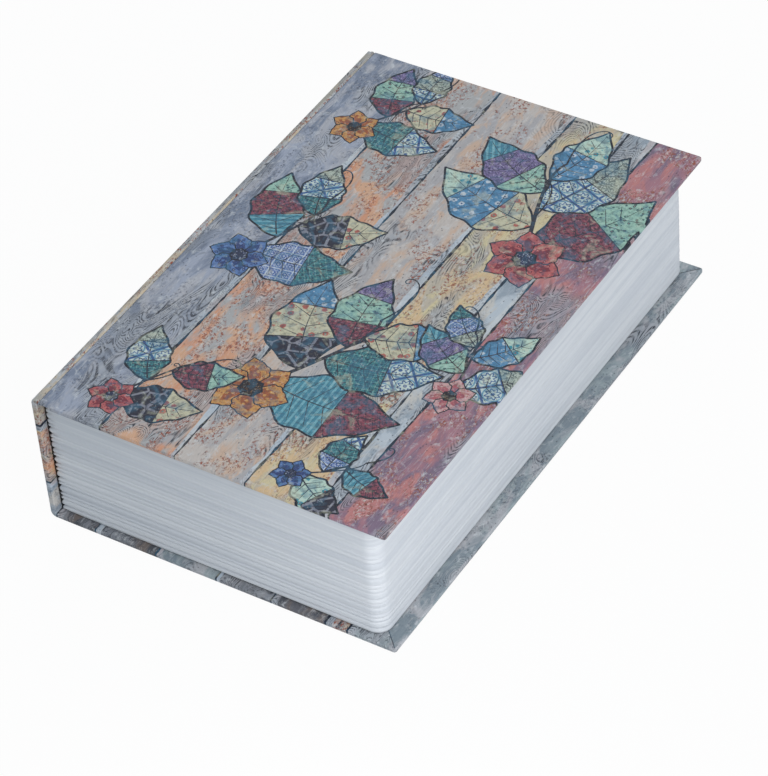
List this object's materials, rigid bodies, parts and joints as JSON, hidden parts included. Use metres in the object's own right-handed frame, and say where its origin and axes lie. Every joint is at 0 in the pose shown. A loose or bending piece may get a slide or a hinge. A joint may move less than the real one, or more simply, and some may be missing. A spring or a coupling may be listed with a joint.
{
  "type": "book diversion safe",
  "caption": "Hardback book whose page block hides a steel strongbox with a hinged door, a combination lock and a turning latch under the front cover.",
  "frame": {"origin": "middle of the back cover's underside, with the closed book lying on its back cover", "axes": "+X from the spine to the fore-edge, +Y from the tail to the head, +Z from the back cover to the front cover"},
  "size_m": [0.155, 0.24, 0.06],
  "materials": {
    "printed_paper": "satin laminated print of weathered painted planks with patchwork motifs",
    "grey_board": "raw grey board",
    "endpaper": "uncoated white paper",
    "page_plastic": "white moulding with uneven ribs like page edges",
    "box_enamel": "black powder coat",
    "door_enamel": "dark grey powder coat",
    "strike_enamel": "grey powder coat",
    "hinge_steel": "dark grey powder coat",
    "plated_steel": "zinc plated",
    "bush_brass": "turned",
    "felt": "black felt",
    "lock_plastic": "black moulding",
    "knob_plastic": "black polished moulding",
    "wheel_plastic": "black moulding with white numbers"
  },
  "bodies": {
    "case": {"case_wrap": "printed_paper", "back_board": "grey_board", "spine_board": "grey_board", "back_endpaper": "endpaper", "page_block": "page_plastic", "safe_box": "box_enamel", "strike_rail": "strike_enamel", "felt_floor": "felt", "felt_wall_spine": "felt", "felt_wall_fore": "felt", "felt_wall_head": "felt", "felt_wall_tail": "felt", "hinge_leaf_box": "hinge_steel", "hinge_pin": "plated_steel", "box_rivet_1": "plated_steel", "box_rivet_2": "plated_steel", "box_rivet_3": "plated_steel"},
    "cover": {"front_wrap": "printed_paper", "front_board": "grey_board", "front_endpaper": "endpaper"},
    "door": {"door_pan": "door_enamel", "hinge_leaf_door": "hinge_steel", "door_rivet_1": "plated_steel", "door_rivet_2": "plated_steel", "door_rivet_3": "plated_steel", "lock_plate": "lock_plastic", "lock_housing": "lock_plastic", "spindle_bush": "bush_brass", "wheel_axle": "plated_steel", "detent_spring": "plated_steel", "lock_screw_head": "plated_steel", "lock_screw_tail": "plated_steel"},
    "latch": {"knob": "knob_plastic", "spindle": "plated_steel", "latch_cam": "plated_steel", "cam_screw": "plated_steel"},
    "wheel_1": {"number_wheel_1": "wheel_plastic"},
    "wheel_2": {"number_wheel_2": "wheel_plastic"},
    "wheel_3": {"number_wheel_3": "wheel_plastic"},
    "reset": {"reset_lever": "lock_plastic"}
  },
  "joints": [
    {"name": "cover_hinge", "type": "hinge", "parent": "case", "child": "cover", "pos_m": [-0.0721, 0, 0.06], "axis": [0, -1, 0], "range_deg": [0, 175]},
    {"name": "door_hinge", "type": "hinge", "parent": "case", "child": "door", "pos_m": [-0.06755, 0, 0.05075], "axis": [0, -1, 0], "range_deg": [0, 105]},
    {"name": "knob_turn", "type": "hinge", "parent": "door", "child": "latch", "pos_m": [0.03563, -0.0055, 0.05], "axis": [0, 0, 1], "range_deg": [0, 90]},
    {"name": "wheel_1_spin", "type": "hinge", "parent": "door", "child": "wheel_1", "pos_m": [0.03183, -0.028, 0.04485], "axis": [0, 1, 0], "continuous": true},
    {"name": "wheel_2_spin", "type": "hinge", "parent": "door", "child": "wheel_2", "pos_m": [0.03183, -0.0367, 0.04485], "axis": [0, 1, 0], "continuous": true},
    {"name": "wheel_3_spin", "type": "hinge", "parent": "door", "child": "wheel_3", "pos_m": [0.03183, -0.0454, 0.04485], "axis": [0, 1, 0], "continuous": true},
    {"name": "reset_slide", "type": "slide", "parent": "door", "child": "reset", "axis": [1, 0, 0], "range_m": [0, 0.003]}
  ],
  "couplings": [
    {"joint": "door_hinge", "follows": "cover_hinge", "ratio": 0.6}
  ]
}
